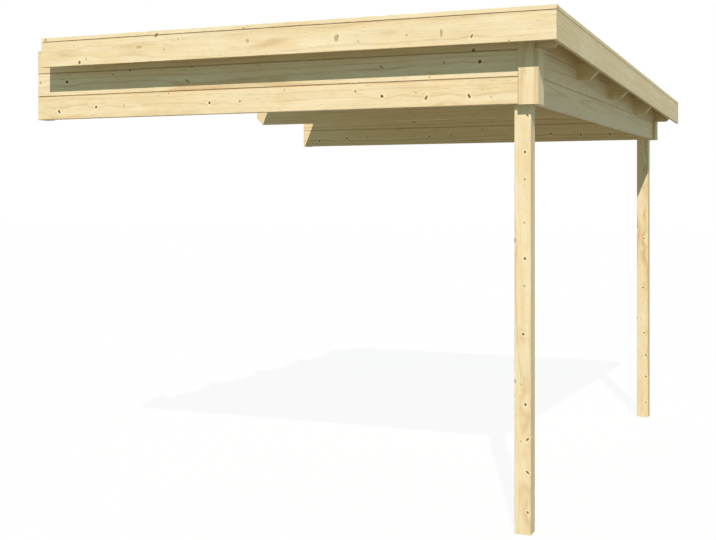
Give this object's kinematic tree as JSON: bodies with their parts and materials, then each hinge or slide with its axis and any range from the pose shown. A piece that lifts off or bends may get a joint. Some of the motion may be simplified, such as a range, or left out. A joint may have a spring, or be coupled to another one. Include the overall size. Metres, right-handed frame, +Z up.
{
  "type": "lean-to roof extension",
  "caption": "Open lean-to roof on corner posts, with short plank walls round its head, purlins, a board roof and fascias; its left end is screwed to a building's wall.",
  "frame": {"origin": "middle of the front batten's flat face that lies on the building's wall", "axes": "+X away from the building's wall, +Y from the front wall to the rear wall, +Z up"},
  "size_m": [2.647, 3.426, 2.1845],
  "materials": {
    "post_timber": "planed softwood, untreated",
    "wall_timber": "planed tongued softwood, untreated",
    "purlin_timber": "planed softwood, untreated",
    "roof_board_timber": "tongued softwood boards, untreated",
    "trim_timber": "planed softwood, untreated",
    "fixing_steel": "zinc-plated nails and screws"
  },
  "bodies": {
    "root": {"front_post": "post_timber", "rear_post": "post_timber", "front_wall_plank_1": "wall_timber", "front_wall_plank_2": "wall_timber", "front_top_purlin": "wall_timber", "rear_wall_plank_1": "wall_timber", "rear_top_purlin": "wall_timber", "side_wall_plank_1": "wall_timber", "side_wall_plank_2_front": "wall_timber", "side_wall_plank_2_rear": "wall_timber", "side_infill_1": "wall_timber", "side_infill_2": "wall_timber", "side_infill_3": "wall_timber", "side_infill_4": "wall_timber", "purlin_2": "purlin_timber", "purlin_3": "purlin_timber", "purlin_4": "purlin_timber", "front_batten": "purlin_timber", "rear_batten": "purlin_timber", "roof_boards_odd": "roof_board_timber", "roof_boards_even": "roof_board_timber", "front_fascia": "trim_timber", "side_fascia": "trim_timber", "rear_fascia": "trim_timber", "front_cover_strip": "trim_timber", "side_cover_strip_front": "trim_timber", "side_cover_strip_rear": "trim_timber", "rear_cover_strip": "trim_timber", "front_corner_trim_front": "trim_timber", "front_corner_trim_side": "trim_timber", "rear_corner_trim_rear": "trim_timber", "rear_corner_trim_side": "trim_timber"}
  },
  "joints": []
}
